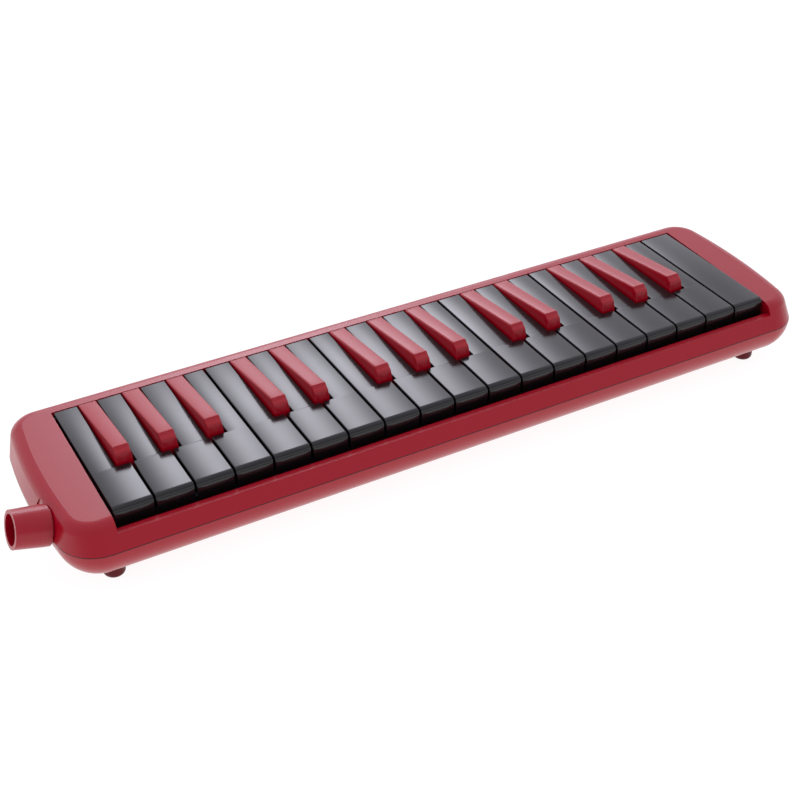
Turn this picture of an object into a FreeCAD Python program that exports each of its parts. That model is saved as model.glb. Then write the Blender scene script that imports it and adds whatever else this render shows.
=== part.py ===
"""A 32-key melodica: clamshell housing, hinged keys, valve pads, blown reed block, air inlet and drain.

Millimetres. +X runs towards the high notes, +Y towards the rear rail, +Z up.
The origin is the centre of the whole instrument in plan, on the plane that its feet stand on.
"""
import FreeCAD, Part
import math
import os

V = FreeCAD.Vector

# Keyboard
PITCH = 20.0                    # natural to natural
KEY_GAP = 1.1                   # between two naturals
NATURALS = "f3 g3 a3 b3 c4 d4 e4 f4 g4 a4 b4 c5 d5 e5 f5 g5 a5 b5 c6".split()
SHARP_SHIFT = {"f": -0.14, "g": 0.0, "a": 0.18, "c": -0.045, "d": 0.065}   # in pitches, off the joint
KEYS_LEFT = -180.0              # left joint of the first natural
KEY_FRONT = -43.5
KEY_REAR = 43.0
KEY_TOP = 39.5
KEY_PLATE = 3.5                 # thickness of a key's top plate
LIP_BOTTOM = 29.5
LIP_THICK = 3.0
BEVEL_RUN = 2.7
BEVEL_DROP = 1.4
RIB_WIDTH = 3.0
RIB_BOTTOM = 32.0
CUT_FRONT = -13.4               # front edge of the cut-outs that hold the sharps
CUT_HALF = 5.2

# Sharps: a tall wedge that sinks to the naturals at the rear
SHARP_FRONT = -12.7
SHARP_SHOULDER = (-11.0, 45.4)  # top of the front face (y, z)
SHARP_CREST = (-8.9, 46.9)     # highest point (y, z)
SHARP_TAIL_TOP = 39.9
SHARP_BASE = 35.0
SHARP_FRONT_HALF = (4.7, 3.8)   # half width at the base and at the top, at the front
SHARP_REAR_HALF = (4.7, 4.6)
SHARP_WALL = 1.8

# Key pivot and travel
PIVOT_Y = 47.5
PIVOT_Z = 33.0
ROD_RADIUS = 1.5
ROD_PLAY = 0.05
EYE_RADIUS = 3.2
EYE_WIDTH = 7.0
LEVER_FRONT = 37.0
LEVER_BOTTOM = 30.6

# Valves
STEM_Y = 4.0
STEM_RADIUS = 1.5
PAD_RADIUS = 4.0
PAD_THICK = 1.5
PAD_CLEAR = 0.3                 # pad to valve seat
VALVE_HOLE = 2.75

# Housing outside
FRONT = -55.0
REAR = 55.0
LEFT = -208.5
RIGHT = 225.0
PART_Z = 24.2                   # where the two halves meet
HULL_BOTTOM = 4.6
CORNER = 20.5                   # plan radius of the four corners
END_RADIUS = 300.0              # plan radius of the slightly bowed ends
WALL = 2.4
FACE_ANGLE = 59.0               # front face above the joint, from the horizontal
END_ANGLE = 75.0                # the same for both end faces
REAR_LEAN = 3.0                 # how far the rear face leans in over its height
DECK_REAR = 39.5                # deck height at the rear edge of the key well
DECK_SLOPE = 0.0247             # the deck falls towards the front
DECK_EDGE = 6.5                 # rounding between deck and faces
LOFT_TOP = 43.0
TOP_CORNER = 11.0
WELL_LEFT = -181.2
WELL_RIGHT = 200.7
WELL_FRONT = -46.9
WELL_REAR = 43.8
WELL_WALL = 2.0
WELL_WALL_BOTTOM = 27.5
LAND_Z = 31.7                   # top of the low rail in front of the keys
FRONT_WALL_BOTTOM = 17.0
FIN_HALF = 1.0
FIN_BOTTOM = 29.4

# Reed block, plates, gaskets and wind chamber, from the top down
BOARD = (-183.0, 199.0, -39.0, 41.0)
BOARD_TOP = 26.4
BOARD_UNDER = 24.4
BLOCK_BOTTOM = 17.5
BLOCK_FRONT = -18.0
BLOCK_REAR = 28.0
CELL_WIDTH = 9.0
CELL_FRONT = -12.0
CELL_REAR = 22.0
PLATE_TOP = 17.0
PLATE_BOTTOM = 16.0
GASKET_BOTTOM = 15.4
TRAY_BOTTOM = 7.6
TRAY_FLOOR = 9.2
TRAY_RIM = 2.2
TRAY_END = 3.0
SLOT_FRONT = -8.0
SLOT_WIDTH = 2.4
LONGEST_SLOT = 24.0
SHORTEST_SLOT = 10.0
TONGUE_WIDTH = 2.2
TONGUE_THICK = 0.3
FOOT_HALF = 1.8                 # half width of a tongue's riveted foot
FOOT_LENGTH = 3.5

# Air inlet: a tube that rises towards the player
INLET_END = V(-222.9, -23.3, 30.8)
INLET_TILT = 13.0
INLET_BORE = 7.5
INLET_TIP = 9.35
INLET_ROOT = 9.9
INLET_TAPER = 14.0
INLET_STEP = 16.8               # the tube steps down here, behind the end wall
INLET_NECK = 8.7
INLET_LENGTH = 29.0
INLET_PLAY = 0.2
RECESS_RADIUS = 13.2
RECESS_FLOOR = 16.6
FLANGE = (9.1, 21.8, 1.0)       # radius, distance from the outer end, thickness
FLANGE_TOP = 32.5
SADDLE = (14.0, 20.1, 21.6)     # radius, and start and end along the tube
SEAL = (9.7, 25.0, 28.2)        # radius, and start and end along the tube
PLENUM = (-196.3, -184.2, -34.0, 8.0, 9.4, 34.9)
PLENUM_WALL = 1.8
STRIP_LEFT = -181.5             # the felts and the spring rail start here, clear of the well wall
PORT = (-14.0, 4.0, 10.2, 14.6) # window from the plenum into the wind chamber (y, y, z, z)

# Fasteners, feet and drain
HOUSING_SCREW_XS = (-165.0, -85.0, 0.0, 85.0, 185.0)
HOUSING_SCREW_FRONT = -44.8
HOUSING_SCREW_REAR = 47.5
LUG_RADIUS = 3.0
POST_RADIUS = 4.6
POST_TOP = 17.0
COUNTERBORE_TOP = 11.0
KEYBED_POST_RADIUS = 3.5
FRONT_KEYBED_JOINTS = (2, 7, 12, 17)        # natural joints that carry a keybed screw
REAR_KEYBED_JOINTS = (4, 7, 11, 14, 18)     # these joints have no sharp over them
KEYBED_FRONT_Y = -36.0
KEYBED_REAR_Y = 34.0
EAR_FRONT = -20.4
EAR_REAR = 30.4
EAR_XS = (-170.0, -88.0, 0.0, 88.0, 170.0)
FOOT_PLACES = ((-182.5, -39.0), (195.0, -39.0), (-182.5, 39.0), (195.0, 39.0))
FOOT_RADIUS = 5.4
FOOT_FLAT = 3.0
DRAIN = (165.0, 14.0)
DRAIN_RADIUS = 4.5
DRAIN_SEAT = 2.4                # radius of the hole that the seal covers


# ---- small helpers -------------------------------------------------------------------------------

def box(x0, x1, y0, y1, z0, z1):
    """A box from its two corners."""
    return Part.makeBox(x1 - x0, y1 - y0, z1 - z0, V(x0, y0, z0))


def post(x, y, z0, z1, radius):
    """An upright cylinder."""
    return Part.makeCylinder(radius, z1 - z0, V(x, y, z0))


def prism(points, x0, x1):
    """A side profile given as (y, z) points, carried from x0 to x1."""
    corners = [V(x0, y, z) for y, z in points]
    face = Part.Face(Part.makePolygon(corners + corners[:1]))
    return face.extrude(V(x1 - x0, 0, 0))


def joined(shapes):
    """One solid from touching shapes."""
    shapes = list(shapes)
    return shapes[0].multiFuse(shapes[1:]).removeSplitter()


def deck_height(y):
    """Height of the deck plane at y."""
    return DECK_REAR + (y - WELL_REAR) * DECK_SLOPE


# ---- key layout ----------------------------------------------------------------------------------

def joint_x(index):
    """X of the joint between natural index - 1 and natural index."""
    return KEYS_LEFT + index * PITCH


def sharp_after(index):
    """X of the sharp over the joint that follows a natural, or None."""
    letter = NATURALS[index][0]
    if index in (-1, len(NATURALS) - 1) or letter not in SHARP_SHIFT:
        return None
    return KEYS_LEFT + (index + 1 + SHARP_SHIFT[letter]) * PITCH


def head_edges(index):
    """Left and right edges of a natural's front part; the first one has no neighbour on its left."""
    left = joint_x(index) + KEY_GAP / 2 if index else KEYS_LEFT
    return left, joint_x(index + 1) - KEY_GAP / 2


def tail_edges(index):
    """Left and right edges of a natural's narrow rear part."""
    left, right = head_edges(index)
    before = sharp_after(index - 1) if index else None
    after = sharp_after(index)
    if before is not None:
        left = before + CUT_HALF
    if after is not None:
        right = after - CUT_HALF
    return left, right


def lever_x(index):
    """Centre of a natural's rear part, where its lever, stem and pad are."""
    return sum(tail_edges(index)) / 2


def levers():
    """Lever centres of all 32 keys, low to high."""
    naturals = [lever_x(i) for i in range(len(NATURALS))]
    sharps = [sharp_after(i) for i in range(len(NATURALS))]
    return sorted(naturals + [x for x in sharps if x is not None])


# ---- keys ----------------------------------------------------------------------------------------

def lever_and_stem(x, rib_front):
    """Rib under a key, the hinge eye behind it and the valve stem that hangs from it."""
    rib = box(x - RIB_WIDTH / 2, x + RIB_WIDTH / 2, rib_front, KEY_REAR, RIB_BOTTOM, KEY_TOP - KEY_PLATE + 0.5)
    lever = box(x - EYE_WIDTH / 2, x + EYE_WIDTH / 2, LEVER_FRONT, PIVOT_Y, LEVER_BOTTOM, KEY_TOP - KEY_PLATE)
    eye = Part.makeCylinder(EYE_RADIUS, EYE_WIDTH, V(x - EYE_WIDTH / 2, PIVOT_Y, PIVOT_Z), V(1, 0, 0))
    pad_bottom = BOARD_UNDER - PAD_CLEAR - PAD_THICK
    stem = post(x, STEM_Y, pad_bottom - 1.0, RIB_BOTTOM + 1.0, STEM_RADIUS)
    head = post(x, STEM_Y, pad_bottom - 1.0, pad_bottom, STEM_RADIUS + 0.8)
    return [rib, lever, eye, stem, head]


def valve_pad(x):
    """Rubber disc on the stem; it closes the valve hole from below."""
    top = BOARD_UNDER - PAD_CLEAR
    disc = post(x, STEM_Y, top - PAD_THICK, top, PAD_RADIUS)
    return disc.cut(post(x, STEM_Y, top - PAD_THICK, top, STEM_RADIUS))


def with_pad(key, x):
    """A key with its rod bore, next to its own valve pad as a second solid."""
    start = V(x - EYE_WIDTH, PIVOT_Y, PIVOT_Z)
    bore = Part.makeCylinder(ROD_RADIUS + ROD_PLAY, 2 * EYE_WIDTH, start, V(1, 0, 0))
    return Part.makeCompound([key.cut(bore), valve_pad(x)])


def natural_key(index):
    """Natural: a bevelled head with a front lip, a narrow tail between the sharps, rib, lever and stem."""
    left, right = head_edges(index)
    under = KEY_TOP - KEY_PLATE
    profile = [
        (KEY_FRONT, LIP_BOTTOM),
        (KEY_FRONT, KEY_TOP - BEVEL_DROP),
        (KEY_FRONT + BEVEL_RUN, KEY_TOP),
        (CUT_FRONT, KEY_TOP),
        (CUT_FRONT, under),
        (KEY_FRONT + LIP_THICK, under),
        (KEY_FRONT + LIP_THICK, LIP_BOTTOM),
    ]
    head = prism(profile, left, right)
    tail_left, tail_right = tail_edges(index)
    tail = box(tail_left, tail_right, CUT_FRONT, KEY_REAR, under, KEY_TOP)
    x = lever_x(index)
    key = joined([head, tail] + lever_and_stem(x, KEY_FRONT + LIP_THICK - 0.5))
    return with_pad(key, x)


def sharp_section(x, y, base_half, top_half, base, top):
    """Upright trapezium across a sharp at y."""
    corners = [
        V(x - base_half, y, base),
        V(x + base_half, y, base),
        V(x + top_half, y, top),
        V(x - top_half, y, top),
    ]
    return Part.makePolygon(corners + corners[:1])


def sharp_wedge(x, inset, base):
    """Tapering wedge between the front and rear sections of a sharp, drawn in by inset on each side."""
    slope = (SHARP_TAIL_TOP - SHARP_CREST[1]) / (KEY_REAR - SHARP_CREST[0])
    front_top = SHARP_CREST[1] - slope * (SHARP_CREST[0] - SHARP_FRONT)
    front = sharp_section(x, SHARP_FRONT, SHARP_FRONT_HALF[0] - inset, SHARP_FRONT_HALF[1] - inset,
                          base, front_top - inset)
    rear = sharp_section(x, KEY_REAR, SHARP_REAR_HALF[0] - inset, SHARP_REAR_HALF[1] - inset,
                         base, SHARP_TAIL_TOP - inset)
    return Part.makeLoft([front, rear], True, True)


def sharp_key(x):
    """Sharp: a hollow wedge with a leaning front face and a bevelled nose, rib, lever and stem."""
    profile = [
        (SHARP_FRONT, SHARP_BASE),
        (SHARP_FRONT, KEY_TOP - 0.4),
        SHARP_SHOULDER,
        SHARP_CREST,
        (KEY_REAR, SHARP_TAIL_TOP + 0.5),
        (KEY_REAR, SHARP_BASE),
    ]
    side = prism(profile, x - 2 * SHARP_FRONT_HALF[0], x + 2 * SHARP_FRONT_HALF[0])
    outer = sharp_wedge(x, 0.0, SHARP_BASE).common(side)
    pocket_zone = box(x - 10, x + 10, SHARP_SHOULDER[0] + SHARP_WALL, 20.0, SHARP_BASE - 1, 60.0)
    pocket = sharp_wedge(x, SHARP_WALL, SHARP_BASE - 1.0).common(pocket_zone)
    spine = box(x - RIB_WIDTH / 2, x + RIB_WIDTH / 2, SHARP_FRONT + 1, KEY_REAR, SHARP_BASE, 60.0).common(outer)
    key = joined([outer.cut(pocket), spine] + lever_and_stem(x, SHARP_SHOULDER[0]))
    return with_pad(key, x)


def pivot_rod():
    """Steel rod that all the keys turn on."""
    start = V(WELL_LEFT - WELL_WALL, PIVOT_Y, PIVOT_Z)
    length = WELL_RIGHT - WELL_LEFT + 2 * WELL_WALL
    return Part.makeCylinder(ROD_RADIUS, length, start, V(1, 0, 0))


# ---- housing -------------------------------------------------------------------------------------

def plan_outline(z, front, rear, left, right, corner):
    """Rounded plan outline at height z: straight sides, round corners and slightly bowed ends."""
    middle = (front + rear) / 2
    reach = math.sqrt((END_RADIUS - corner) ** 2 - (middle - front - corner) ** 2)
    left_x = left + END_RADIUS - reach
    right_x = right - END_RADIUS + reach
    turn = math.atan2(middle - front - corner, reach)
    diagonal = math.pi / 4 + turn / 2

    def on_corner(x, y, sx, sy, angle):
        return V(x + sx * corner * math.cos(angle), y + sy * corner * math.sin(angle), z)

    def corner_arc(x, y, sx, sy):
        return [on_corner(x, y, sx, sy, a) for a in (turn, diagonal, math.pi / 2)]

    fl = corner_arc(left_x, front + corner, -1, -1)
    fr = corner_arc(right_x, front + corner, 1, -1)
    rr = corner_arc(right_x, rear - corner, 1, 1)
    rl = corner_arc(left_x, rear - corner, -1, 1)
    edges = [
        Part.Arc(fl[0], fl[1], fl[2]).toShape(),
        Part.LineSegment(fl[2], fr[2]).toShape(),
        Part.Arc(fr[2], fr[1], fr[0]).toShape(),
        Part.Arc(fr[0], V(right, middle, z), rr[0]).toShape(),
        Part.Arc(rr[0], rr[1], rr[2]).toShape(),
        Part.LineSegment(rr[2], rl[2]).toShape(),
        Part.Arc(rl[2], rl[1], rl[0]).toShape(),
        Part.Arc(rl[0], V(left, middle, z), fl[0]).toShape(),
    ]
    return Part.Wire(edges)


def hull_solid(inset):
    """Lower half as a full block with a quarter-round bottom edge, drawn in by inset."""
    bottom = HULL_BOTTOM + inset
    outline = plan_outline(bottom, FRONT + inset, REAR - inset, LEFT + inset, RIGHT - inset, CORNER - inset)
    block = Part.Face(outline).extrude(V(0, 0, PART_Z - bottom))
    low_edges = [e for e in block.Edges if e.BoundBox.ZMax < bottom + 0.01]
    return block.makeFillet(PART_Z - bottom - 0.2, low_edges)


def crown_solid(inset):
    """Upper half as a full block: leaning faces, a sloping deck and a rounded deck edge, drawn in by inset."""
    run = (LOFT_TOP - PART_Z) / math.tan(math.radians(FACE_ANGLE))
    end_run = (LOFT_TOP - PART_Z) / math.tan(math.radians(END_ANGLE))
    low = plan_outline(PART_Z, FRONT + inset, REAR - inset, LEFT + inset, RIGHT - inset, CORNER - inset)
    high = plan_outline(LOFT_TOP, FRONT + run + inset, REAR - REAR_LEAN - inset,
                        LEFT + end_run + inset, RIGHT - end_run - inset, TOP_CORNER - inset)
    block = Part.makeLoft([low, high], True, True)
    profile = [(y, deck_height(y) - inset) for y in (-70.0, 70.0)]
    above = prism(profile + [(70.0, 70.0), (-70.0, 70.0)], LEFT - 10, RIGHT + 10)
    block = block.cut(above)
    top_face = max(block.Faces, key=lambda face: face.CenterOfMass.z)
    return block.makeFillet(DECK_EDGE - inset, top_face.Edges)


def inlet_axis():
    """Direction out of the inlet, towards the player."""
    tilt = math.radians(INLET_TILT)
    return V(-math.cos(tilt), 0, math.sin(tilt))


def inlet_cylinder(radius, start, end):
    """Cylinder on the inlet's axis, between two distances measured inwards from its outer end."""
    cylinder = Part.makeCylinder(radius, end - start, INLET_END - inlet_axis() * start, inlet_axis() * -1)
    cylinder.rotate(INLET_END, inlet_axis(), 180.0)     # puts the seam where no wall crosses it
    return cylinder


def with_inlet_hole(body):
    """The body with a stepped hole in its end wall, shared by both halves, that grips the inlet tube."""
    wide = inlet_cylinder(INLET_ROOT + INLET_PLAY, -5.0, INLET_STEP)
    return body.cut(wide).cut(inlet_cylinder(INLET_NECK + INLET_PLAY, 0.0, 25.0))


def rod_fins():
    """Fins that hang from the rear rail and carry the pivot rod."""
    fins = [joint_x(k) for k in REAR_KEYBED_JOINTS]
    shapes = [box(x - FIN_HALF, x + FIN_HALF, WELL_REAR, REAR - 2.0, FIN_BOTTOM, 45.0) for x in fins]
    for x in (WELL_LEFT - WELL_WALL, WELL_RIGHT):
        shapes.append(box(x, x + WELL_WALL, WELL_REAR - 1.0, REAR - 2.0, FIN_BOTTOM, 45.0))
    return shapes


def screw_lugs():
    """Bosses in the upper half that the housing screws bite into."""
    shapes = []
    for x in HOUSING_SCREW_XS:
        shapes.append(post(x, HOUSING_SCREW_FRONT, POST_TOP, PART_Z, LUG_RADIUS))
        shapes.append(post(x, HOUSING_SCREW_REAR, POST_TOP, PART_Z + 3.0, LUG_RADIUS))
        shapes.append(box(x - 1.5, x + 1.5, HOUSING_SCREW_REAR, REAR - 1.5, PART_Z, PART_Z + 3.0))
    return shapes


def upper_housing():
    """Upper half: deck round the key well, low front rail, well walls, rod fins, screw lugs and inlet recess."""
    outer = crown_solid(0.0)
    shell = outer.cut(crown_solid(WALL))
    side_walls = [
        box(x, x + WELL_WALL, WELL_FRONT, WELL_REAR, WELL_WALL_BOTTOM, 45.0)
        for x in (WELL_LEFT - WELL_WALL, WELL_RIGHT)
    ]
    pocket = inlet_cylinder(RECESS_RADIUS + 1.6, 5.0, RECESS_FLOOR + 2.0)
    inner_walls = [s.common(outer) for s in side_walls + rod_fins() + [pocket]]
    front_wall = box(WELL_LEFT - WELL_WALL, WELL_RIGHT + WELL_WALL, WELL_FRONT - WELL_WALL, WELL_FRONT,
                     FRONT_WALL_BOTTOM, LAND_Z)
    body = joined([shell, front_wall] + inner_walls + screw_lugs())
    well = box(WELL_LEFT, WELL_RIGHT, WELL_FRONT, WELL_REAR, PART_Z + 1, 60.0)
    land = box(WELL_LEFT, WELL_RIGHT, FRONT - 5, WELL_FRONT + 1, LAND_Z, 60.0)
    recess = inlet_cylinder(RECESS_RADIUS, -5.0, RECESS_FLOOR)
    body = with_inlet_hole(body.cut(well).cut(land).cut(pivot_rod())).cut(recess)
    for x in HOUSING_SCREW_XS:
        for y in (HOUSING_SCREW_FRONT, HOUSING_SCREW_REAR):
            body = body.cut(post(x, y, POST_TOP, PART_Z - 1.0, 1.4))
    return body


def keybed_places():
    """Places of the screws that hold the keybed, front row then rear row."""
    front = [(joint_x(k), KEYBED_FRONT_Y) for k in FRONT_KEYBED_JOINTS]
    rear = [(joint_x(k), KEYBED_REAR_Y) for k in REAR_KEYBED_JOINTS]
    return front, rear


def lower_housing():
    """Lower half: boat-shaped hull with screw posts, keybed posts, drain hole and foot holes."""
    outer = hull_solid(0.0)
    shell = outer.cut(hull_solid(WALL))
    screw_places = [(x, y) for x in HOUSING_SCREW_XS for y in (HOUSING_SCREW_FRONT, HOUSING_SCREW_REAR)]
    posts = [post(x, y, 0.0, POST_TOP, POST_RADIUS).common(outer) for x, y in screw_places]
    front, rear = keybed_places()
    posts += [post(x, y, HULL_BOTTOM + 1, BOARD_UNDER, KEYBED_POST_RADIUS) for x, y in front + rear]
    saddle = inlet_cylinder(*SADDLE).common(outer)
    body = joined([with_inlet_hole(shell), with_inlet_hole(saddle)] + posts)
    for x, y in screw_places:
        body = body.cut(post(x, y, 0.0, COUNTERBORE_TOP, 3.0)).cut(post(x, y, 0.0, POST_TOP + 1, 1.7))
    for x, y in front + rear:
        body = body.cut(post(x, y, BOARD_UNDER - 9.0, BOARD_UNDER + 1.0, 1.2))
    for x, y in FOOT_PLACES:
        body = body.cut(post(x, y, 0.0, 12.0, 2.5))
    return body.cut(post(DRAIN[0], DRAIN[1], 0.0, 8.0, DRAIN_RADIUS + 0.4))


# ---- reed block and wind chamber -----------------------------------------------------------------

def reed_block():
    """Keybed board with a block of 32 reed cells below it; each cell has a valve hole in its roof."""
    left, right, front, rear = BOARD
    board = box(left, right, front, rear, BOARD_UNDER, BOARD_TOP)
    block = box(left, right, BLOCK_FRONT, BLOCK_REAR, BLOCK_BOTTOM, BOARD_UNDER)
    ears = [post(x, y, GASKET_BOTTOM, BOARD_UNDER, LUG_RADIUS) for x in EAR_XS for y in (EAR_FRONT, EAR_REAR)]
    under_plate = box(left, right, BLOCK_FRONT, BLOCK_REAR, 0.0, BLOCK_BOTTOM)
    ears = [ear.cut(under_plate) for ear in ears]
    body = joined([board, block] + ears)
    cuts = []
    for x in levers():
        cuts.append(box(x - CELL_WIDTH / 2, x + CELL_WIDTH / 2, CELL_FRONT, CELL_REAR, BLOCK_BOTTOM, BOARD_UNDER))
        cuts.append(post(x, STEM_Y, BOARD_UNDER - 1, BOARD_TOP + 1, VALVE_HOLE))
    front_places, rear_places = keybed_places()
    cuts += [post(x, y, BOARD_UNDER - 1, BOARD_TOP + 1, 1.4) for x, y in front_places + rear_places]
    cuts += [post(x, y, 0.0, BOARD_UNDER - 1, 1.1) for x in EAR_XS for y in (EAR_FRONT, EAR_REAR)]
    cuts += [post(x, y, 0.0, 21.0, 0.9) for x, y in plate_screw_places()]
    return body.cut(Part.makeCompound(cuts))


def plate_screw_places():
    """Screws between every fourth pair of cells, in a front row and a rear row."""
    centres = levers()
    columns = [(centres[i] + centres[i + 1]) / 2 for i in range(1, len(centres), 4)]
    return [(x, y) for x in columns for y in (-14.0, 24.0)]


def plate_spans():
    """X spans of the bass plate and the treble plate, which meet between the two middle cells."""
    centres = levers()
    half = len(centres) // 2
    middle = (centres[half - 1] + centres[half]) / 2
    return (BOARD[0], middle - 0.1), (middle + 0.1, BOARD[1])


def slot_length(index):
    """Reed slots shorten evenly from the lowest note to the highest."""
    share = index / (len(levers()) - 1)
    return LONGEST_SLOT + (SHORTEST_SLOT - LONGEST_SLOT) * share


def reed_plate(span):
    """Brass plate with one slot and one rivet hole per reed, and its screw holes."""
    plate = box(span[0], span[1], BLOCK_FRONT, BLOCK_REAR, PLATE_BOTTOM, PLATE_TOP)
    cuts = []
    for i, x in enumerate(levers()):
        cuts.append(box(x - SLOT_WIDTH / 2, x + SLOT_WIDTH / 2, SLOT_FRONT, SLOT_FRONT + slot_length(i),
                        PLATE_BOTTOM - 1, PLATE_TOP + 1))
        cuts.append(post(x, SLOT_FRONT - FOOT_LENGTH / 2, PLATE_BOTTOM - 1, PLATE_TOP + 1, 0.8))
    cuts += [post(x, y, PLATE_BOTTOM - 1, PLATE_TOP + 1, 0.9) for x, y in plate_screw_places()]
    return plate.cut(Part.makeCompound(cuts))


def reed_tongues(first, last):
    """Thin tongues under the plate, each with a wider riveted foot."""
    centres = levers()
    reeds = []
    for i in range(first, last):
        x = centres[i]
        low = PLATE_BOTTOM - TONGUE_THICK
        tongue = box(x - TONGUE_WIDTH / 2, x + TONGUE_WIDTH / 2, SLOT_FRONT - 1, SLOT_FRONT + slot_length(i) - 0.2,
                     low, PLATE_BOTTOM)
        foot = box(x - FOOT_HALF, x + FOOT_HALF, SLOT_FRONT - FOOT_LENGTH, SLOT_FRONT - 0.2, low, PLATE_BOTTOM)
        rivet_hole = post(x, SLOT_FRONT - FOOT_LENGTH / 2, low - 1, PLATE_TOP, 0.8)
        reeds.append(joined([tongue, foot]).cut(rivet_hole))
    return Part.makeCompound(reeds)


def reed_rivets():
    """One headed rivet through the foot of each reed."""
    y = SLOT_FRONT - FOOT_LENGTH / 2
    low = PLATE_BOTTOM - TONGUE_THICK
    rivets = [joined([post(x, y, low, PLATE_TOP, 0.8), post(x, y, low - 0.5, low, 1.3)]) for x in levers()]
    return Part.makeCompound(rivets)


def reed_plate_gasket():
    """Gasket between block and plates, with a window for each cell."""
    sheet = box(BOARD[0], BOARD[1], BLOCK_FRONT, BLOCK_REAR, PLATE_TOP, BLOCK_BOTTOM)
    cuts = [box(x - CELL_WIDTH / 2, x + CELL_WIDTH / 2, CELL_FRONT, CELL_REAR, PLATE_TOP - 1, BLOCK_BOTTOM + 1)
            for x in levers()]
    cuts += [post(x, y, PLATE_TOP - 1, BLOCK_BOTTOM + 1, 0.9) for x, y in plate_screw_places()]
    return sheet.cut(Part.makeCompound(cuts))


def chamber_inside(z0, z1):
    """Space inside the rim of the wind chamber."""
    return box(BOARD[0] + TRAY_END, BOARD[1] - TRAY_END, BLOCK_FRONT + TRAY_RIM, BLOCK_REAR - TRAY_RIM, z0, z1)


def chamber_gasket():
    """Thin frame that seals the wind chamber against the plates."""
    sheet = box(BOARD[0], BOARD[1], BLOCK_FRONT, BLOCK_REAR, GASKET_BOTTOM, PLATE_BOTTOM)
    return sheet.cut(chamber_inside(GASKET_BOTTOM - 1, PLATE_BOTTOM + 1))


def wind_chamber():
    """Tray under the reeds: floor, rim, screw ears, inlet window at the bass end and drain seat."""
    tray = box(BOARD[0], BOARD[1], BLOCK_FRONT, BLOCK_REAR, TRAY_BOTTOM, GASKET_BOTTOM)
    ears = [post(x, y, TRAY_BOTTOM, GASKET_BOTTOM, LUG_RADIUS) for x in EAR_XS for y in (EAR_FRONT, EAR_REAR)]
    body = joined([tray] + ears).cut(chamber_inside(TRAY_FLOOR, GASKET_BOTTOM + 1))
    for x in EAR_XS:
        for y in (EAR_FRONT, EAR_REAR):
            body = body.cut(post(x, y, 0.0, 20.0, 1.3)).cut(post(x, y, 0.0, TRAY_BOTTOM + 1.6, 2.2))
    window = box(BOARD[0] - 1, BOARD[0] + TRAY_END + 1, PORT[0], PORT[1], PORT[2], PORT[3])
    seat = post(DRAIN[0], DRAIN[1], 0.0, TRAY_FLOOR + 1, DRAIN_SEAT)
    return body.cut(window).cut(seat)


# ---- air inlet -----------------------------------------------------------------------------------

def inlet_spigot():
    """Tapered inlet tube with a straight bore, a shoulder and a flat-topped flange inside the end wall."""
    cone = Part.makeCone(INLET_TIP, INLET_ROOT, INLET_TAPER, INLET_END, inlet_axis() * -1)
    root = inlet_cylinder(INLET_ROOT, INLET_TAPER, INLET_STEP)
    neck = inlet_cylinder(INLET_NECK, INLET_STEP, INLET_LENGTH)
    flange = inlet_cylinder(FLANGE[0], FLANGE[1], FLANGE[1] + FLANGE[2])
    flange = flange.common(box(-230.0, -180.0, -50.0, 0.0, 0.0, FLANGE_TOP))
    return joined([cone, root, neck, flange]).cut(inlet_cylinder(INLET_BORE, -1.0, INLET_LENGTH + 1.0))


def inlet_seal():
    """Rubber sleeve round the neck of the inlet tube, in the mouth of the plenum."""
    return inlet_cylinder(*SEAL).cut(inlet_cylinder(INLET_NECK, 0.0, INLET_LENGTH))


def inlet_plenum():
    """Box with a spout that turns the air from the round inlet down into the wind chamber."""
    x0, x1, y0, y1, z0, z1 = PLENUM
    w = PLENUM_WALL
    outer = box(x0, x1, y0, y1, z0, z1)
    inner = box(x0 + w, x1 - w, y0 + w, y1 - w, z0 + w, z1 - w)
    spout = box(x1, BOARD[0], PORT[0] - w, PORT[1] + w, PORT[2] - 0.6, PORT[3] + 0.6)
    window = box(x1 - w - 1, BOARD[0] + 1, PORT[0], PORT[1], PORT[2] + 1.0, PORT[3])
    mouth = inlet_cylinder(SEAL[0], 0.0, INLET_LENGTH)
    return joined([outer.cut(inner), spout]).cut(window).cut(mouth)


# ---- small parts ---------------------------------------------------------------------------------

def key_return_springs():
    """One bent leaf per key: its foot lies on the keybed, its tip lifts the key's rib."""
    thick = 0.3
    foot, bend, tip, end = (37.5, BOARD_TOP), (30.0, BOARD_TOP), (15.0, 31.5), (12.0, 31.0)
    lower = [foot, bend, tip, end]
    upper = [(y, z + thick) for y, z in reversed(lower)]
    return Part.makeCompound([prism(lower + upper, x - 2.5, x + 2.5) for x in levers()])


def spring_rail():
    """Metal strip that clamps the feet of the leaves to the keybed."""
    low = BOARD_TOP + 0.3
    strip = box(STRIP_LEFT, BOARD[1], 31.0, 37.0, low, low + 1.2)
    rear = keybed_places()[1]
    return strip.cut(Part.makeCompound([post(x, y, low - 1, low + 3, 1.4) for x, y in rear]))


def key_felt():
    """Two felt strips on the keybed: the naturals land on the front one, the sharps on the rear one."""
    front = box(STRIP_LEFT, BOARD[1], -33.0, -27.0, BOARD_TOP, BOARD_TOP + 1.8)
    rear = box(STRIP_LEFT, BOARD[1], -13.0, -9.0, BOARD_TOP, BOARD_TOP + 2.6)
    return Part.makeCompound([front, rear])


def screw(x, y, head_z, shank_end, head_radius, shank_radius, head_height):
    """Pan-head screw: shank from head_z to shank_end, head on the far side of head_z."""
    up = 1.0 if shank_end > head_z else -1.0
    head = Part.makeCylinder(head_radius, head_height, V(x, y, head_z), V(0, 0, -up))
    shank = Part.makeCylinder(shank_radius, abs(shank_end - head_z), V(x, y, head_z), V(0, 0, up))
    slot_start = head_z - up * head_height
    slot = box(x - head_radius, x + head_radius, y - 0.3, y + 0.3, slot_start - 0.5, slot_start + 0.5)
    return joined([head, shank]).cut(slot)


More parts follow.
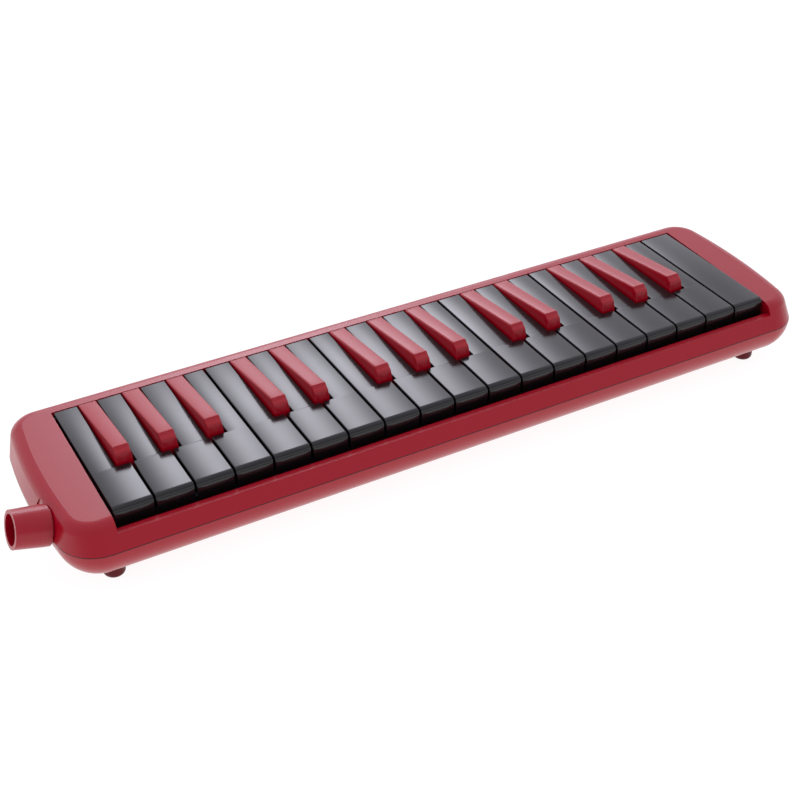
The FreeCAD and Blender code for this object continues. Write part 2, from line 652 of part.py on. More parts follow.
def housing_screws():
    """Screws that draw the two halves together from below."""
    places = [(x, y) for x in HOUSING_SCREW_XS for y in (HOUSING_SCREW_FRONT, HOUSING_SCREW_REAR)]
    return Part.makeCompound([screw(x, y, COUNTERBORE_TOP, 22.0, 2.7, 1.4, 1.8) for x, y in places])


def keybed_screws():
    """Screws that hold the reed block to the lower half; the rear row also holds the spring rail."""
    front, rear = keybed_places()
    rail_top = BOARD_TOP + 1.5
    shapes = [screw(x, y, BOARD_TOP, BOARD_UNDER - 7.0, 2.4, 1.2, 1.2) for x, y in front]
    shapes += [screw(x, y, rail_top, BOARD_UNDER - 7.0, 2.4, 1.2, 1.2) for x, y in rear]
    return Part.makeCompound(shapes)


def reed_plate_screws():
    """Small screws that hold the plates to the block."""
    return Part.makeCompound([screw(x, y, PLATE_BOTTOM, 20.5, 1.5, 0.9, 0.9) for x, y in plate_screw_places()])


def wind_chamber_screws():
    """Screws through the chamber's ears into the block's ears."""
    places = [(x, y) for x in EAR_XS for y in (EAR_FRONT, EAR_REAR)]
    return Part.makeCompound([screw(x, y, TRAY_BOTTOM + 1.6, 22.5, 2.1, 1.1, 1.2) for x, y in places])


def foot(x, y, hull):
    """Rubber foot: a low dome with a small flat, and a plug through the hull."""
    dome = post(x, y, 0.0, 9.0, FOOT_RADIUS)
    rim = [e for e in dome.Edges if e.BoundBox.ZMax < 0.01]
    dome = dome.makeFillet(FOOT_RADIUS - FOOT_FLAT, rim)
    return joined([dome.cut(hull), post(x, y, 2.0, 9.0, 2.5)])


def feet():
    """The four feet."""
    hull = hull_solid(0.0)
    return Part.makeCompound([foot(x, y, hull) for x, y in FOOT_PLACES])


def drain_button():
    """Push button under the treble end: a shallow cup with a stem and a snap head."""
    x, y = DRAIN
    cup = post(x, y, 2.2, 5.6, DRAIN_RADIUS).cut(post(x, y, 3.4, 5.7, DRAIN_RADIUS - 0.9))
    stem = post(x, y, 3.0, 11.2, 1.2)
    snap = post(x, y, 10.7, 11.2, 1.9)
    return joined([cup, stem, snap])


def drain_seal():
    """Rubber washer that rests on the drain seat inside the wind chamber."""
    x, y = DRAIN
    return post(x, y, 9.5, 10.7, 4.5).cut(post(x, y, 9.0, 11.0, 1.2))


def drain_spring():
    """Envelope of the coil spring between the button and the underside of the wind chamber."""
    x, y = DRAIN
    low = 3.45
    return post(x, y, low, TRAY_BOTTOM - 0.1, 3.45).cut(post(x, y, low, TRAY_BOTTOM, 2.95))


# ---- export --------------------------------------------------------------------------------------

def build():
    """All nodes by name."""
    bass_span, treble_span = plate_spans()
    half = len(levers()) // 2
    nodes = {
        "upper_housing": upper_housing(),
        "lower_housing": lower_housing(),
        "inlet_spigot": inlet_spigot(),
        "inlet_seal": inlet_seal(),
        "inlet_plenum": inlet_plenum(),
        "pivot_rod": pivot_rod(),
        "reed_block": reed_block(),
        "bass_reed_plate": reed_plate(bass_span),
        "treble_reed_plate": reed_plate(treble_span),
        "bass_reed_tongues": reed_tongues(0, half),
        "treble_reed_tongues": reed_tongues(half, 2 * half),
        "reed_rivets": reed_rivets(),
        "reed_plate_gasket": reed_plate_gasket(),
        "chamber_gasket": chamber_gasket(),
        "wind_chamber": wind_chamber(),
        "key_return_springs": key_return_springs(),
        "spring_rail": spring_rail(),
        "key_felt": key_felt(),
        "housing_screws": housing_screws(),
        "keybed_screws": keybed_screws(),
        "reed_plate_screws": reed_plate_screws(),
        "wind_chamber_screws": wind_chamber_screws(),
        "feet": feet(),
        "drain_button": drain_button(),
        "drain_seal": drain_seal(),
        "drain_spring": drain_spring(),
    }
    for i, note in enumerate(NATURALS):
        nodes[f"natural_key_{note}"] = natural_key(i)
        x = sharp_after(i)
        if x is not None:
            nodes[f"sharp_key_{note[0]}s{note[1]}"] = sharp_key(x)
    return nodes


os.makedirs("parts", exist_ok=True)
for name, shape in build().items():
    if not shape.isValid() or not shape.Solids:
        raise RuntimeError(f"{name} isn't a valid solid")
    shape.exportStep(f"parts/{name}.step")
    span = shape.BoundBox
    print(f"{name:24s} {len(shape.Solids):3d} {shape.Volume:10.1f}  x {span.XMin:8.2f} {span.XMax:8.2f}"
          f"  y {span.YMin:7.2f} {span.YMax:7.2f}  z {span.ZMin:6.2f} {span.ZMax:6.2f}")
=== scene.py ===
"""Looks of a 32-key melodica: moulded red shell, glossy black naturals, red sharps, hidden reed works."""

import math

import bpy
import numpy as np
from mathutils import Matrix


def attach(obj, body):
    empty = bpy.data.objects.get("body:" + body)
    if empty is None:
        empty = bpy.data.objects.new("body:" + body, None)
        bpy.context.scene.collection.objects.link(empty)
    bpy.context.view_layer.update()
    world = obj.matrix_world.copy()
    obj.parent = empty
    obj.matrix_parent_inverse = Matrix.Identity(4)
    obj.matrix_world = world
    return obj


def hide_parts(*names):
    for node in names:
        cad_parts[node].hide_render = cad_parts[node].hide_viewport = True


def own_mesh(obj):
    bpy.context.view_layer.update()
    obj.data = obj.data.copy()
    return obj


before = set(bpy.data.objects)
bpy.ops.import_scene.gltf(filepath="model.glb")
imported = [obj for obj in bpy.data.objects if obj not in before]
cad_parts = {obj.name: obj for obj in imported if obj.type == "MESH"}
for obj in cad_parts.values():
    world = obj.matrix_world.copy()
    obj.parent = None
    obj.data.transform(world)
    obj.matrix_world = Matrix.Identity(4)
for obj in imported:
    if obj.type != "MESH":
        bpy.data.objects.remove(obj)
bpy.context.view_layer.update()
MM = 0.001
SMOOTH_TO = math.radians(38)     # faces that meet at less than this are shaded as one surface

# ---- the instrument's own sizes, in millimetres ------------------------------------------------

PITCH = 20.0
KEY_GAP = 1.1
NATURALS = "f3 g3 a3 b3 c4 d4 e4 f4 g4 a4 b4 c5 d5 e5 f5 g5 a5 b5 c6".split()
SHARP_SHIFT = {"f": -0.14, "g": 0.0, "a": 0.18, "c": -0.045, "d": 0.065}
KEYS_LEFT = -180.0
KEY_FRONT = -43.5
KEY_REAR = 43.0
KEY_TOP = 39.5
KEY_PLATE = 3.5
LIP_BOTTOM = 29.5
LIP_THICK = 3.0
NOSE_DROP = 1.9                  # the rounded front edge of a natural
NATURAL_EDGE = 0.5
NATURAL_REAR_EDGE = 0.25
CUT_FRONT = -13.4                # the cut-out that leaves room for a sharp
CUT_HALF = 5.2
CUT_EDGE = 0.4

SHARP_FRONT = -12.7
SHARP_LEAN = 1.7                 # how far the front face leans back over its height
LEAN_BEGINS = -6.0               # the lean grows from here to the front, over LEAN_RUN
LEAN_RUN = 5.0
SHARP_BASE = 35.0
SHARP_EDGE = 0.8
SHARP_ROUND = 0.9
SHARP_LINE = [(SHARP_FRONT, 44.4), (-11.0, 45.5), (-8.9, 46.9), (43.0, 39.9)]
SHARP_ROUNDING = [0.7, 1.2]
SHARP_HALF_FRONT = (4.7, 3.8)    # half width at the base and at the crown
SHARP_HALF_REAR = (4.7, 4.6)

PIVOT = (47.5, 33.0)             # y and z of the rod that all keys turn on
EYE_RADIUS = 3.2
EYE_BORE = 1.55
EYE_HALF = 3.5
LEVER = (37.0, 30.6, 36.0)       # front, bottom, top
RIB_HALF = 1.5
RIB_HEIGHT = (32.0, 36.5)
SHARP_RIB_FRONT = -11.0
STEM_Y = 4.0
STEM_RADIUS = 1.5
STEM_HEIGHT = (21.6, 33.0)
STEM_COLLAR = 0.8                # how far the button under the pad stands out from the stem
STEM_CORE = 0.3
PAD = (4.0, 22.6, 24.1)          # radius, bottom, top
PAD_EDGE = 0.3

DRAIN = (165.0, 14.0)
COIL_TURNS = 5
COIL_RADIUS = 3.2
COIL_WIRE = 0.24
COIL_LOW = 3.45
COIL_HIGH = 7.5
LEAF_LINE = ((37.5, 26.4), (30.0, 26.4), (15.0, 31.5), (12.0, 31.0))
LEAF_THICK = 0.3
LEAF_HALF = 2.5

PART_HEIGHT = 0.0242             # metres: where the two halves of the housing meet
SEAM_HALF = 0.00028              # metres: half the width of the shaded joint


def joint_x(index):
    """Line between natural index - 1 and natural index."""
    return KEYS_LEFT + index * PITCH


def sharp_after(index):
    """Centre of the sharp to the right of a natural, or None."""
    if not 0 <= index < len(NATURALS) - 1:
        return None
    shift = SHARP_SHIFT.get(NATURALS[index][0])
    return None if shift is None else joint_x(index + 1) + shift * PITCH


def head_edges(index):
    """Left and right edge of a natural's front part; the first has no neighbour on its left."""
    left = joint_x(index) + KEY_GAP / 2 if index else KEYS_LEFT
    return left, joint_x(index + 1) - KEY_GAP / 2


def tail_edges(index):
    """Left and right edge of a natural between its neighbouring sharps."""
    left, right = head_edges(index)
    before, after = sharp_after(index - 1), sharp_after(index)
    left = left if before is None else max(left, before + CUT_HALF)
    right = right if after is None else min(right, after - CUT_HALF)
    return left, right


# ---- surfaces ----------------------------------------------------------------------------------

def grid_faces(rows, columns):
    """Quads between neighbouring rows of a grid whose last column joins its first."""
    row, column = np.meshgrid(np.arange(rows - 1), np.arange(columns), indexing="ij")
    here = row * columns + column
    beside = row * columns + (column + 1) % columns
    quads = np.stack([here, beside, beside + columns, here + columns], axis=-1)
    return quads.reshape(-1, 4)


def closed_loft(rings):
    """Vertices and faces of a skin over rings (n, m, 3), with a point in the middle of each end.

    The rings run anticlockwise as seen from the side that the loft is heading to, so faces look out."""
    count, around, _ = rings.shape
    middle = rings[[0, -1]].mean(axis=1)
    points = np.concatenate([rings.reshape(-1, 3), middle])
    quads = grid_faces(count, around)
    ring = np.arange(around)
    after = (ring + 1) % around
    last = (count - 1) * around
    first_fan = np.stack([after, ring, np.full(around, count * around)], axis=-1)
    last_fan = np.stack([last + ring, last + after, np.full(around, count * around + 1)], axis=-1)
    return points, quads.tolist() + first_fan.tolist() + last_fan.tolist()


def torus_loft(rings):
    """Vertices and faces of a skin whose last ring joins its first, such as a tube with a wall."""
    count, around, _ = rings.shape
    looped = np.concatenate([rings, rings[:1]])
    faces = grid_faces(count + 1, around)
    return looped[:-1].reshape(-1, 3), (faces % (count * around)).tolist()


def put(name, shells, body, nodes, materials, kinds=None):
    """Makes one piece from shells of (points in mm, faces), which rides on a body and stands for nodes."""
    points, faces, tags, start = [], [], [], 0
    for number, (shell_points, shell_faces) in enumerate(shells):
        points.append(shell_points)
        faces.extend([[corner + start for corner in face] for face in shell_faces])
        tags.extend([kinds[number] if kinds else 0] * len(shell_faces))
        start += len(shell_points)
    mesh = bpy.data.meshes.new(name)
    mesh.from_pydata((np.concatenate(points) * MM).tolist(), [], faces)
    for material in materials:
        mesh.materials.append(material)
    mesh.polygons.foreach_set("material_index", np.array(tags, np.int32))
    mesh.polygons.foreach_set("use_smooth", np.ones(len(faces), bool))
    mesh.set_sharp_from_angle(angle=SMOOTH_TO)
    mesh.update()
    piece = bpy.data.objects.new(name, mesh)
    bpy.context.scene.collection.objects.link(piece)
    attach(piece, body)
    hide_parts(*nodes)
    return piece


def softened(line, radii, steps=6):
    """A polyline with an arc in place of each inner corner, centred on the corner's bisector."""
    line = np.array(line, float)
    out = [line[:1]]
    for corner, radius in zip(range(1, len(line) - 1), radii):
        here = line[corner]
        back = line[corner - 1] - here
        on = line[corner + 1] - here
        back = back / np.linalg.norm(back)
        on = on / np.linalg.norm(on)
        half = math.acos(np.clip(back @ on, -1, 1)) / 2
        cut = radius / math.tan(half)
        centre = here + (back + on) / np.linalg.norm(back + on) * radius / math.sin(half)
        start = here + back * cut - centre
        end = here + on * cut - centre
        share = np.linspace(0, 1, steps)[:, None]
        sweep = math.pi - 2 * half
        arc = (np.sin((1 - share) * sweep) * start + np.sin(share * sweep) * end) / math.sin(sweep)
        out.append(centre + arc)
    out.append(line[-1:])
    return np.concatenate(out)


def rounded_rings(y, left, right, bottom, top, round_top, round_bottom, steps=5, lean=0.0):
    """One ring per station y: an upright rectangle whose corners are quarter circles.

    left, right, bottom, top and the two roundings are numbers or one value per station; lean moves a
    ring's points along y in proportion to their height above its bottom."""
    y, left, right, bottom, top, round_top, round_bottom, lean = np.broadcast_arrays(
        y, left, right, bottom, top, round_top, round_bottom, lean)
    turn = np.linspace(0, math.pi / 2, steps)
    corners = [
        (right, top, round_top, 0.0),
        (left, top, round_top, math.pi / 2),
        (left, bottom, round_bottom, math.pi),
        (right, bottom, round_bottom, 1.5 * math.pi),
    ]
    parts = []
    for x_edge, z_edge, radius, begin in corners:
        side = 1 if begin in (0.0, 1.5 * math.pi) else -1
        rise = 1 if begin < math.pi / 1.5 else -1
        x = (x_edge - side * radius)[:, None] + radius[:, None] * np.cos(begin + turn)
        z = (z_edge - rise * radius)[:, None] + radius[:, None] * np.sin(begin + turn)
        parts.append(np.stack([x, z], axis=-1))
    ring = np.concatenate(parts, axis=1)
    z = ring[..., 1]
    shifted = y[:, None] + lean[:, None] * (z - bottom[:, None])
    return np.stack([ring[..., 0], shifted, z], axis=-1)


def bar(y0, y1, x0, x1, z0, z1, edge=0.3):
    """A plain moulded bar along y, its ends drawn in by the same rounding as its edges."""
    draw = np.array([edge, edge * 0.3, 0.0, 0.0, edge * 0.3, edge])
    y = np.array([y1, y1 - edge * 0.3, y1 - edge, y0 + edge, y0 + edge * 0.3, y0])
    return closed_loft(rounded_rings(y, x0 + draw, x1 - draw, z0 + draw, z1 - draw, edge, edge, 3))


def turned(profile, centre, axis, around=40, hollow=False):
    """A turned piece: profile points (radius, distance along the axis) carried round the axis."""
    profile = np.array(profile, float)
    axis = np.array(axis, float) / np.linalg.norm(axis)
    across = np.cross(axis, (0.0, 0.0, 1.0))
    if np.linalg.norm(across) < 1e-6:
        across = np.array((1.0, 0.0, 0.0))
    across = across / np.linalg.norm(across)
    beside = np.cross(axis, across)
    angle = np.linspace(0, 2 * math.pi, around, endpoint=False)
    ray = np.cos(angle)[:, None] * across + np.sin(angle)[:, None] * beside
    rings = (np.array(centre, float) + profile[:, 1, None, None] * axis
             + profile[:, 0, None, None] * ray)
    return torus_loft(rings) if hollow else closed_loft(rings)


# ---- finishes ----------------------------------------------------------------------------------

class Wire:
    """A shader socket: arithmetic on it adds Math nodes, and node() adds any other node."""

    def __init__(self, tree, socket=None):
        self.tree = tree
        self.socket = socket

    def node(self, kind, settings, sockets, out=0):
        """Adds a node: first its settings, then a value or a wire for each socket; gives one output."""
        made = self.tree.nodes.new(kind)
        for key, value in settings.items():
            setattr(made, key, value)
        for key, value in sockets.items():
            if isinstance(value, Wire):
                self.tree.links.new(value.socket, made.inputs[key])
            else:
                made.inputs[key].default_value = value
        return Wire(self.tree, made.outputs[out])

    def maths(self, operation, first, second):
        return self.node("ShaderNodeMath", {"operation": operation}, {0: first, 1: second})

    def __add__(self, other):
        return self.maths("ADD", self, other)

    __radd__ = __add__

    def __sub__(self, other):
        return self.maths("SUBTRACT", self, other)

    def __rsub__(self, other):
        return self.maths("SUBTRACT", other, self)

    def __mul__(self, other):
        return self.maths("MULTIPLY", self, other)

    __rmul__ = __mul__

    def __truediv__(self, other):
        return self.maths("DIVIDE", self, other)

    def __rtruediv__(self, other):
        return self.maths("DIVIDE", other, self)

    def noise(self, scale, detail=2.0, roughness=0.5, stretch=(1, 1, 1)):
        """Noise on the object's own coordinates, about 0 to 1; scale is in features per metre."""
        place = self.node("ShaderNodeTexCoord", {}, {}, "Object")
        mapped = self.node("ShaderNodeMapping", {}, {"Vector": place, "Scale": stretch})
        return self.node("ShaderNodeTexNoise", {}, {
            "Vector": mapped, "Scale": scale, "Detail": detail, "Roughness": roughness}, "Fac")

    def blend(self, factor, first, second):
        """A colour between two colours."""
        return self.node("ShaderNodeMix", {"data_type": "RGBA"}, {0: factor, 6: first, 7: second}, 2)

    def bump(self, height, strength, distance):
        return self.node("ShaderNodeBump", {}, {
            "Height": height, "Strength": strength, "Distance": distance})


def finish(name, paint, constants):
    """A material: constants go straight onto the shader, and paint(wire) gives the varying sockets."""
    material = bpy.data.materials.new(name)
    material.use_nodes = True
    tree = material.node_tree
    shader = tree.nodes["Principled BSDF"]
    for key, value in constants.items():
        shader.inputs[key].default_value = value
    for key, value in paint(Wire(tree)).items():
        tree.links.new(value.socket, shader.inputs[key])
    return material


def srgb(red, green, blue):
    """Screen colour 0..255 to the linear values that the shader takes."""
    share = np.array([red, green, blue]) / 255
    linear = np.where(share <= 0.04045, share / 12.92, ((share + 0.055) / 1.055) ** 2.4)
    return (*linear.tolist(), 1.0)


SEAM_SHADE = srgb(52, 0, 8)


def moulded(name, main, other, roughness, spread, grain, constants, seamed=False):
    """Moulded plastic: slow drift of colour from the melt, a faintly uneven gloss and a fine skin.

    A seamed one also darkens at the height where the two halves of the housing meet.
    """
    def paint(wire):
        flow = wire.noise(14, 3.0, stretch=(0.5, 1, 1))
        haze = wire.noise(95, 4.0, 0.6)
        skin = wire.noise(900, 2.0) * 0.6 + wire.noise(160, 2.0) * 0.4
        colour = wire.blend(flow * 0.7 + haze * 0.3, main, other)
        if seamed:
            place = wire.node("ShaderNodeTexCoord", {}, {}, "Object")
            height = place.node("ShaderNodeSeparateXYZ", {}, {"Vector": place}, "Z")
            away = height.maths("ABSOLUTE", height - PART_HEIGHT, 0.0)
            seam = away.node("ShaderNodeMapRange", {}, {
                "Value": away, "From Min": SEAM_HALF * 0.6, "From Max": SEAM_HALF,
                "To Min": 1.0, "To Max": 0.0})
            colour = wire.blend(seam, colour, SEAM_SHADE)
        return {
            "Base Color": colour,
            "Roughness": (haze - 0.5) * spread + roughness,
            "Normal": wire.bump(skin, grain, 0.00006),
        }
    return finish(name, paint, constants)


def metal(name, main, other, roughness, spread, stretch):
    """Bare metal: drawn or rolled streaks in the gloss and a slight drift of tone."""
    def paint(wire):
        streak = wire.noise(700, 3.0, 0.6, stretch)
        drift = wire.noise(60, 2.0)
        return {
            "Base Color": wire.blend(drift, main, other),
            "Roughness": (streak - 0.5) * spread + roughness,
            "Normal": wire.bump(streak, 0.25, 0.00003),
        }
    return finish(name, paint, {"Metallic": 1.0})


RED_SHELL = moulded("red_shell", srgb(166, 3, 30), srgb(158, 1, 26), 0.25, 0.05, 0.08, {"IOR": 1.46},
                    seamed=True)
RED_TUBE = moulded("red_tube", srgb(164, 3, 30), srgb(156, 1, 26), 0.27, 0.05, 0.08, {"IOR": 1.46})
RED_KEY = moulded("red_key", srgb(170, 2, 28), srgb(162, 0, 24), 0.24, 0.05, 0.06, {"IOR": 1.48})
RED_BUTTON = moulded("red_button", srgb(168, 4, 30), srgb(150, 2, 26), 0.36, 0.06, 0.15, {"IOR": 1.47})
BLACK_KEY = moulded("black_key", srgb(17, 16, 18), srgb(13, 12, 14), 0.17, 0.04, 0.05, {"IOR": 1.5})
# The feet's red is darker than their own colour: painted shade under the housing, which the glowing floor
# would otherwise light.
FOOT_RUBBER_PAINTED_SHADE = moulded("foot_rubber", srgb(96, 2, 16), srgb(84, 1, 14), 0.4, 0.1, 0.3, {"IOR": 1.3})
SEAL_RUBBER = moulded("seal_rubber", srgb(52, 50, 50), srgb(38, 37, 38), 0.62, 0.1, 0.6, {"IOR": 1.45})
INNER_PLASTIC = moulded("inner_plastic", srgb(58, 56, 58), srgb(46, 45, 47), 0.45, 0.08, 0.3, {"IOR": 1.47})
FELT = moulded("felt", srgb(96, 24, 34), srgb(74, 16, 26), 0.95, 0.05, 1.0, {"Sheen Weight": 0.5})
STEEL = metal("steel", srgb(196, 196, 200), srgb(178, 178, 184), 0.28, 0.15, (0.1, 1, 1))
REED_BRASS = metal("reed_brass", srgb(206, 172, 96), srgb(190, 152, 80), 0.32, 0.18, (1, 0.1, 1))
SPRING_BRONZE = metal("spring_bronze", srgb(196, 140, 92), srgb(176, 122, 78), 0.30, 0.15, (1, 0.1, 1))
RAIL_ALUMINIUM = metal("rail_aluminium", srgb(206, 208, 210), srgb(190, 192, 196), 0.34, 0.2, (0.1, 1, 1))

SLOT_FINISH = {
    "red_shell": RED_SHELL, "red_key": RED_KEY, "black_key": BLACK_KEY, "red_button": RED_BUTTON,
    "foot_rubber": FOOT_RUBBER_PAINTED_SHADE, "seal_rubber": SEAL_RUBBER, "inner_plastic": INNER_PLASTIC,
    "steel": STEEL, "reed_brass": REED_BRASS, "spring_bronze": SPRING_BRONZE,
    "rail_aluminium": RAIL_ALUMINIUM, "felt": FELT,
}


def finish_frame():
    """Gives every CAD node the finish of its own material slot; the air inlet has no seam."""
    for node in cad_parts.values():
        for holder in node.material_slots:
            name = holder.material.name.split(".")[0]
            if name in SLOT_FINISH:
                holder.material = SLOT_FINISH[name]
    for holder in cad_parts["inlet_spigot"].material_slots:
        holder.material = RED_TUBE


# ---- keys --------------------------------------------------------------------------------------

def works(x, rib_front):
    """What a key carries out of sight: rib, lever, the eye on the rod, the valve stem and its pad."""
    eye = [(EYE_BORE, -EYE_HALF), (EYE_RADIUS, -EYE_HALF), (EYE_RADIUS, EYE_HALF), (EYE_BORE, EYE_HALF)]
    radius, low, high = PAD
    collar = STEM_RADIUS + STEM_COLLAR
    foot, head = STEM_HEIGHT
    stem = [(STEM_CORE, foot), (collar, foot), (collar, low), (STEM_RADIUS, low), (STEM_RADIUS, head),
            (STEM_CORE, head)]
    pad = [(STEM_RADIUS, low), (radius - PAD_EDGE, low), (radius, low + PAD_EDGE),
           (radius, high - PAD_EDGE), (radius - PAD_EDGE, high), (STEM_RADIUS, high)]
    lever_front, lever_bottom, lever_top = LEVER
    shells = [
        bar(rib_front, KEY_REAR, x - RIB_HALF, x + RIB_HALF, *RIB_HEIGHT),
        bar(lever_front, PIVOT[0] - EYE_BORE, x - EYE_HALF, x + EYE_HALF, lever_bottom, lever_top),
        turned(eye, (x, *PIVOT), (1, 0, 0), 32, hollow=True),
        turned(stem, (x, STEM_Y, 0), (0, 0, 1), 20),
        turned(pad, (x, STEM_Y, 0), (0, 0, 1), 28, hollow=True),
    ]
    return shells, [0, 0, 0, 0, 1]


def natural_key(index):
    """A natural: rounded rectangles across it, carried from its rear end to its front. Its sides step in
    at the cut-outs along quarter circles, its top falls to the front along an ellipse, its bottom steps
    down where the lip begins, and both ends draw in."""
    note = NATURALS[index]
    left, right = head_edges(index)
    tail_left, tail_right = tail_edges(index)
    edge, inner, rear_edge = NATURAL_EDGE, CUT_EDGE, NATURAL_REAR_EDGE
    middle = (tail_left + tail_right) / 2
    under = KEY_TOP - KEY_PLATE
    lip = KEY_FRONT + LIP_THICK
    turn = np.linspace(0, math.pi / 2, 5)
    rise, fall = np.sin(turn), 1 - np.cos(turn)

    def stations(y, left, right, bottom, top, draw=0.0):
        edges = np.broadcast_arrays(y, left + draw, right - draw, bottom + draw, top - draw)
        return np.stack(edges, axis=-1)

    nose = np.linspace(0, math.pi / 2, 10)[1:]
    left_in = (tail_left > left) * inner
    right_in = (tail_right < right) * inner
    rows = np.concatenate([
        stations(KEY_REAR - rear_edge * fall, tail_left, tail_right, under, KEY_TOP,
                 rear_edge * (1 - rise)),
        stations(CUT_FRONT + inner * (1 - rise), tail_left - left_in * fall, tail_right + right_in * fall,
                 under, KEY_TOP),
        stations(CUT_FRONT - edge * fall, left + (tail_left > left) * edge * (1 - rise),
                 right - (tail_right < right) * edge * (1 - rise), under, KEY_TOP),
        stations(np.array([lip + 0.02]), left, right, under, KEY_TOP),
        stations(np.array([lip]), left, right, LIP_BOTTOM, KEY_TOP),
        stations(lip - (LIP_THICK - edge) * np.sin(nose), left, right, LIP_BOTTOM,
                 KEY_TOP - NOSE_DROP * (1 - np.cos(nose))),
        stations(KEY_FRONT + edge * (1 - rise[1:]), left, right, LIP_BOTTOM, KEY_TOP - NOSE_DROP,
                 edge * fall[1:]),
    ])
    y, x0, x1, z0, z1 = rows.T
    skin = closed_loft(rounded_rings(y, x0, x1, z0, z1, edge, 0.25))
    shells, kinds = works(middle, lip - 0.5)
    return_leaf(note, middle)
    return put("natural_" + note, [skin] + shells, "key_" + note, ["natural_key_" + note],
               [BLACK_KEY, SEAL_RUBBER], [0] + kinds)


def sharp_key(note, x):
    """A sharp: rounded rectangles across it, narrower at the rear. The top follows the nose, the crest
    and the long fall to the rear; the front end leans back and draws in along quarter circles."""
    line = softened(SHARP_LINE, SHARP_ROUNDING)
    edge = SHARP_EDGE
    turn = np.linspace(0, math.pi / 2, 5)
    y = np.concatenate([[KEY_REAR, KEY_REAR - 0.3], np.linspace(KEY_REAR - 2, -5, 9), line[1:-1, 0]])
    y = np.unique(np.concatenate([y, np.linspace(SHARP_FRONT + edge, -8.0, 8)]))[::-1]
    y = y[y > SHARP_FRONT + edge + 0.02]
    tip = SHARP_FRONT + edge * (1 - np.sin(turn))
    draw = np.concatenate([[edge * 0.4], np.zeros(len(y) - 1), edge * (1 - np.cos(turn))])
    y = np.concatenate([y, tip])
    order = np.argsort(line[:, 0])
    top = np.interp(y, line[order, 0], line[order, 1]) - draw * 0.8
    share = (y - SHARP_FRONT) / (KEY_REAR - SHARP_FRONT)
    base = SHARP_HALF_FRONT[0] + share * (SHARP_HALF_REAR[0] - SHARP_HALF_FRONT[0]) - draw
    crown = SHARP_HALF_FRONT[1] + share * (SHARP_HALF_REAR[1] - SHARP_HALF_FRONT[1]) - draw
    leaning = np.clip((LEAN_BEGINS - y) / LEAN_RUN, 0, 1)
    lean = leaning * SHARP_LEAN / (SHARP_LINE[0][1] - SHARP_BASE)
    rings = rounded_rings(y, x - base, x + base, SHARP_BASE, top, SHARP_ROUND, 0.25, 6, lean)
    height = (rings[..., 2] - SHARP_BASE) / (top - SHARP_BASE)[:, None]
    taper = 1 + np.clip(height, 0, 1) * ((crown - base) / base)[:, None]
    rings[..., 0] = x + (rings[..., 0] - x) * taper
    skin = closed_loft(rings)
    shells, kinds = works(x, SHARP_RIB_FRONT)
    return_leaf(note, x)
    return put("sharp_" + note, [skin] + shells, "key_" + note, ["sharp_key_" + note],
               [RED_KEY, SEAL_RUBBER], [0] + kinds)


# ---- springs -----------------------------------------------------------------------------------

def drain_coil():
    """The drain button's coil: centre (R cos t, R sin t, z0 + p t), wire of radius r across its path."""
    x, y = DRAIN
    turn = np.linspace(0, 2 * math.pi * COIL_TURNS, 24 * COIL_TURNS + 1)
    height = np.linspace(COIL_LOW + COIL_WIRE, COIL_HIGH - COIL_WIRE, len(turn))
    outward = np.stack([np.cos(turn), np.sin(turn), 0 * turn], axis=-1)
    centre = outward * COIL_RADIUS + np.stack([0 * turn + x, 0 * turn + y, height], axis=-1)
    upward = np.array((0.0, 0.0, 1.0))
    angle = np.linspace(0, 2 * math.pi, 10, endpoint=False)[:, None]
    around = np.cos(angle) * outward[:, None] - np.sin(angle) * upward
    piece = put("drain_coil", [closed_loft(centre[:, None] + around * COIL_WIRE)], "housing",
                ["drain_spring"], [STEEL])
    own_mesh(piece)


def return_leaf(note, x):
    """One bent leaf: the line LEAF_LINE in (y, z), LEAF_THICK deep and 2 LEAF_HALF wide. On the instrument
    its own key presses it flat towards its foot; here it keeps this one shape."""
    line = np.array(LEAF_LINE, float)
    low = np.stack([line, line + (0.0, LEAF_THICK)])
    left = np.insert(low, 0, x - LEAF_HALF, axis=2)
    right = np.insert(low, 0, x + LEAF_HALF, axis=2)
    rings = np.stack([left[0], right[0], right[1], left[1]], axis=1)
    piece = put("return_leaf_" + note, [closed_loft(rings)], "housing",
                ["key_return_springs"], [SPRING_BRONZE])
    x * MM
    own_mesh(piece)


# ---- studio ------------------------------------------------------------------------------------

CAMERA_PLACE = (-307.29, -539.86, 448.79)
CAMERA_RIGHT = (0.87392, -0.48607, -0.0015)
CAMERA_UP = (0.28062, 0.50203, 0.81806)
CAMERA_AHEAD = (0.39689, 0.71533, -0.57514)
CAMERA_LENS = 63.9               # millimetres, on a 36 mm wide sensor
FLOOR_HALF = 8.0                 # metres
WINDOW_TOWARD = (0.388, 0.922)   # plan direction of a tall soft window behind the instrument
WINDOW_GLOW = 6.4
WINDOW_TIGHT = 82.0              # how fast the glow falls off to either side of its middle
WINDOW_FOOT = (0.24, 0.56)       # sines of the elevations between which it fades in
WINDOW_HEAD = (0.82, 0.60)       # and out
ROOM_EVEN = 0.86                 # the white room's light, and how much it grows to the right and rear
ROOM_RIGHT = 0.10
ROOM_REAR = 0.32
ROOM_TINT = (0.97, 0.96, 1.06, 1)
FLOOR_GLOW = 0.92


def set_camera():
    """A camera whose own x, y and z axes are CAMERA_RIGHT, CAMERA_UP and straight back."""
    lens = bpy.data.cameras.new("camera")
    lens.sensor_width = 36.0
    lens.lens = CAMERA_LENS
    lens.clip_end = 100.0
    turn = np.eye(4)
    turn[:3, 0] = CAMERA_RIGHT
    turn[:3, 1] = CAMERA_UP
    turn[:3, 2] = -np.array(CAMERA_AHEAD)
    turn[:3, 3] = np.array(CAMERA_PLACE) * MM
    camera = bpy.data.objects.new("camera", lens)
    camera.matrix_world = Matrix(turn.tolist())
    bpy.context.scene.collection.objects.link(camera)
    bpy.context.scene.camera = camera


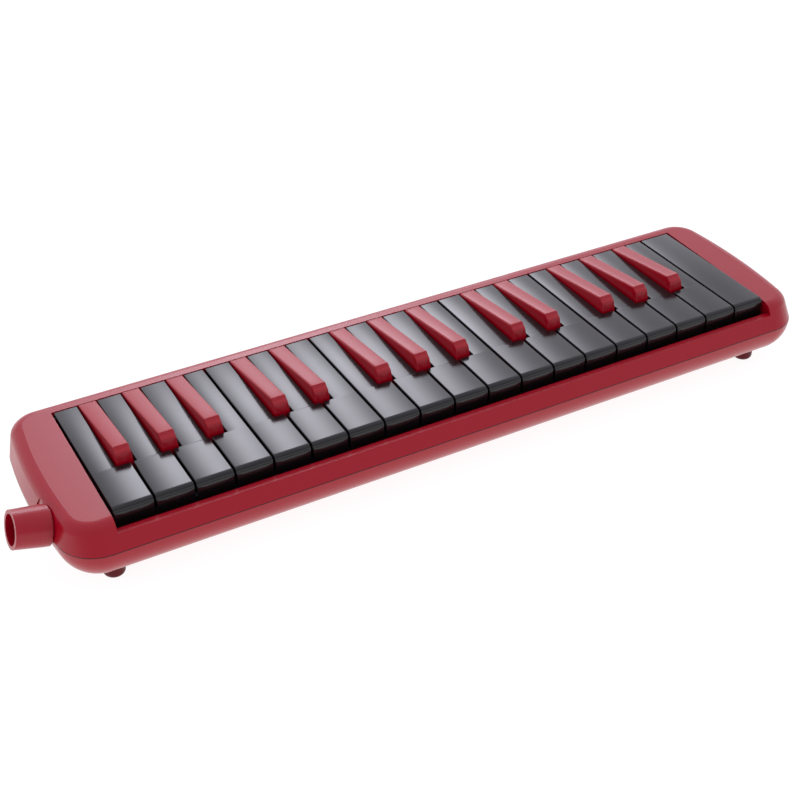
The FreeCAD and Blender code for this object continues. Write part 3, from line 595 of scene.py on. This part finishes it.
def set_floor():
    """A pale floor with light of its own, so that shadows stay faint; seen from below it is clear."""
    def paint(wire):
        below = wire.node("ShaderNodeNewGeometry", {}, {}, "Backfacing")
        return {
            "Base Color": wire.blend(wire.noise(3), (0.22, 0.22, 0.22, 1), (0.20, 0.20, 0.20, 1)),
            "Alpha": 1.0 - below,
        }
    half = FLOOR_HALF
    corners = [(-half, -half, 0), (half, -half, 0), (half, half, 0), (-half, half, 0)]
    mesh = bpy.data.meshes.new("floor")
    mesh.from_pydata(corners, [], [(0, 1, 2, 3)])
    mesh.materials.append(finish("floor_paper", paint, {
        "Roughness": 0.95, "IOR": 1.1, "Emission Color": (1, 1, 1, 1), "Emission Strength": FLOOR_GLOW}))
    floor = bpy.data.objects.new("floor", mesh)
    bpy.context.scene.collection.objects.link(floor)


def fade(wire, start, end):
    """0 at start, 1 at end, eased in between."""
    return wire.node("ShaderNodeMapRange", {"interpolation_type": "SMOOTHSTEP"}, {
        "Value": wire, "From Min": start, "From Max": end})


def set_lights():
    """A white room, brighter behind the instrument than in front, with a tall soft window for the gloss.

    The window's glow is exp(WINDOW_TIGHT (cos a - 1)), where a is the angle in plan from its middle."""
    world = bpy.data.worlds.new("studio")
    world.use_nodes = True
    tree = world.node_tree
    toward = Wire(tree).node("ShaderNodeTexCoord", {}, {}, "Generated")
    split = [toward.node("ShaderNodeSeparateXYZ", {}, {"Vector": toward}, axis) for axis in "XYZ"]
    flat = split[0] * split[0] + split[1] * split[1]
    level = flat.maths("POWER", flat, 0.5)
    facing = (split[0] * WINDOW_TOWARD[0] + split[1] * WINDOW_TOWARD[1]) / (level + 0.001)
    tall = fade(split[2], *WINDOW_FOOT) * fade(split[2], *WINDOW_HEAD)
    glow = facing.maths("EXPONENT", (facing - 1.0) * WINDOW_TIGHT, 0.0) * tall * WINDOW_GLOW
    strength = split[0] * ROOM_RIGHT + split[1] * ROOM_REAR + ROOM_EVEN + glow
    background = tree.nodes["Background"]
    tree.links.new(strength.socket, background.inputs["Strength"])
    background.inputs["Color"].default_value = ROOM_TINT
    bpy.context.scene.world = world
    bpy.context.scene.view_settings.view_transform = "Standard"


finish_frame()
for number, natural in enumerate(NATURALS):
    natural_key(number)
    centre = sharp_after(number)
    if centre is not None:
        sharp_key(natural[0] + "s" + natural[1], centre)
drain_coil()
set_camera()
set_floor()
set_lights()
